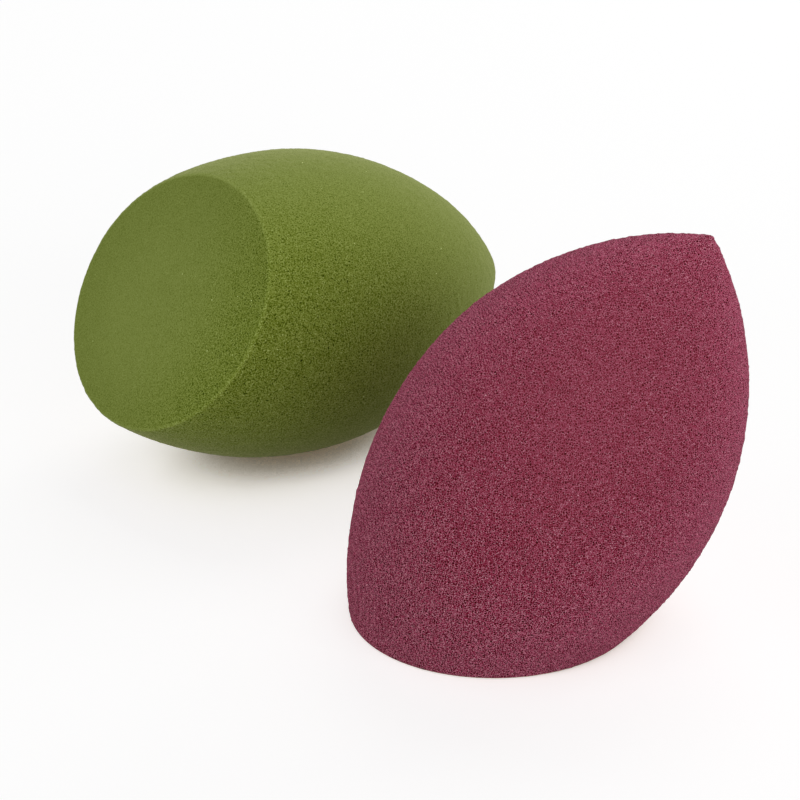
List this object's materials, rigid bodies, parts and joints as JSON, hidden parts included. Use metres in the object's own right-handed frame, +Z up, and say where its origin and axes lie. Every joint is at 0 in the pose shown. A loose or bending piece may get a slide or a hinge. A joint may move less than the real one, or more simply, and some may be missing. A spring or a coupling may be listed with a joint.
{
  "type": "makeup sponge",
  "caption": "Set of pointed oval foam makeup sponges with flat slanted bases, standing on the base or lying on the side, for blending foundation.",
  "frame": {"origin": "where the standing burgundy sponge's long axis meets its slanted flat base, on the surface that the set rests on", "axes": "+Z up, away from the surface; +X the way the standing sponge leans; +Y towards the sponge that lies on its side"},
  "size_m": [0.0736, 0.0889, 0.0463],
  "materials": {
    "burgundy_foam": "matte",
    "green_foam": "matte"
  },
  "bodies": {
    "burgundy": {"burgundy_sponge": "burgundy_foam"},
    "green": {"green_sponge": "green_foam"}
  },
  "joints": [
    {"name": "green_lift", "type": "slide", "parent": "burgundy", "child": "green", "axis": [0, 0, 1], "range_m": [0, 0.06]}
  ]
}
